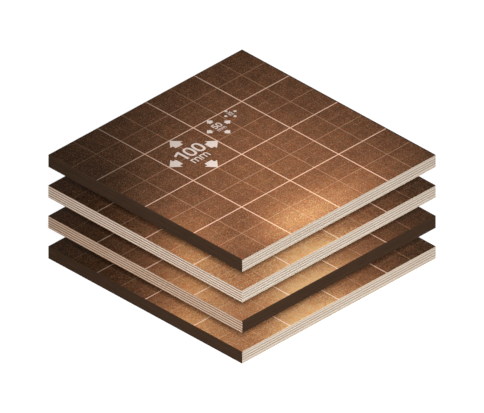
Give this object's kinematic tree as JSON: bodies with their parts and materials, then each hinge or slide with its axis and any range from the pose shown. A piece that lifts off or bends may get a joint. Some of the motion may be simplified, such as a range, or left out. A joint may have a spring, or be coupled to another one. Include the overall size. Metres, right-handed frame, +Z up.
{
  "type": "stack of plywood sheets",
  "caption": "Stack of square film-faced plywood sheets with printed measuring grids, held apart by softwood spacer battens.",
  "frame": {"origin": "middle of the underside of the bottom sheet, on the floor", "axes": "+Z up through the stack, +X along the sheets' length, the way the printed marks on the faces read, +Y along their width, the way the tops of those marks point"},
  "size_m": [0.4, 0.4, 0.18],
  "materials": {
    "film_faced_plywood": "satin",
    "softwood_batten": "matte"
  },
  "bodies": {
    "root": {"sheet_1": "film_faced_plywood", "sheet_2": "film_faced_plywood", "sheet_3": "film_faced_plywood", "sheet_4": "film_faced_plywood", "spacer_1_left": "softwood_batten", "spacer_1_right": "softwood_batten", "spacer_2_left": "softwood_batten", "spacer_2_right": "softwood_batten", "spacer_3_left": "softwood_batten", "spacer_3_right": "softwood_batten"}
  },
  "joints": []
}
